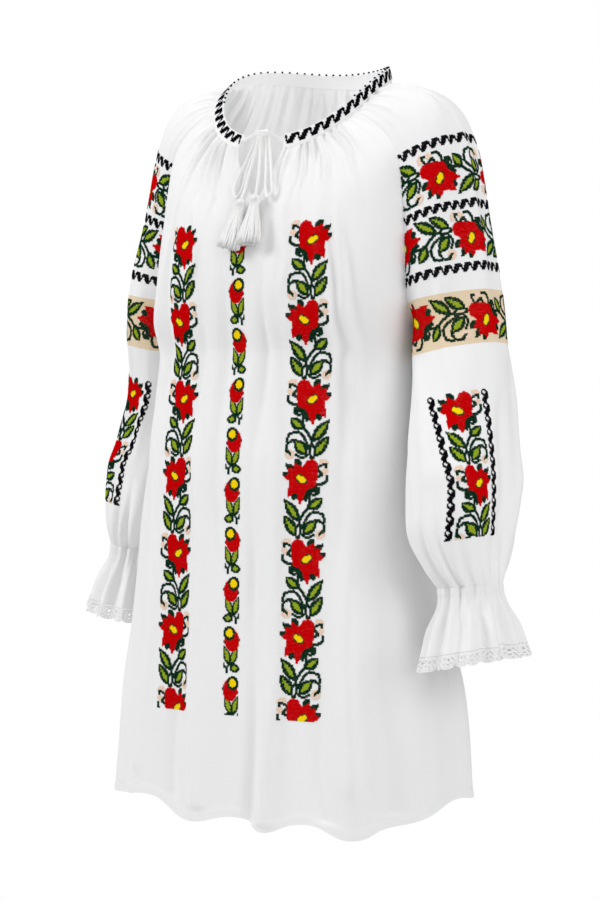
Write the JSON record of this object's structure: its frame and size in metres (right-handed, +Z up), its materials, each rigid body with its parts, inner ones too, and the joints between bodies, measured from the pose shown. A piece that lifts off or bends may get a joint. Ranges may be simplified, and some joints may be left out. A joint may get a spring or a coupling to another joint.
{
  "type": "romanian ie blouse",
  "caption": "Long hollow embroidered cotton ie with gathered neckband, raglan sleeves, tied front slit and flared cuff ruffles.",
  "frame": {"origin": "middle of the neckband's seam at shoulder height, where the neck and shoulders hold the garment", "axes": "+Z up along the garment's length, +X to the wearer's left, -Y out of the front"},
  "size_m": [0.6584, 0.2546, 0.8621],
  "materials": {
    "cotton_gauze": "matt",
    "neck_cotton": "matt",
    "cotton_lace": "matt",
    "cotton_cord": "satin"
  },
  "bodies": {
    "root": {"front_panel": "cotton_gauze", "back_panel": "cotton_gauze", "neckband": "neck_cotton", "tie_knot": "cotton_cord", "sleeve_left": "cotton_gauze", "wrist_casing_left": "neck_cotton", "cuff_ruffle_left": "cotton_gauze", "cuff_lace_left": "cotton_lace", "tie_across_left": "cotton_cord", "bow_loop_left": "cotton_cord", "tie_end_left": "cotton_cord", "tassel_left": "cotton_cord", "sleeve_right": "cotton_gauze", "wrist_casing_right": "neck_cotton", "cuff_ruffle_right": "cotton_gauze", "cuff_lace_right": "cotton_lace", "tie_across_right": "cotton_cord", "bow_loop_right": "cotton_cord", "tie_end_right": "cotton_cord", "tassel_right": "cotton_cord"}
  },
  "joints": []
}
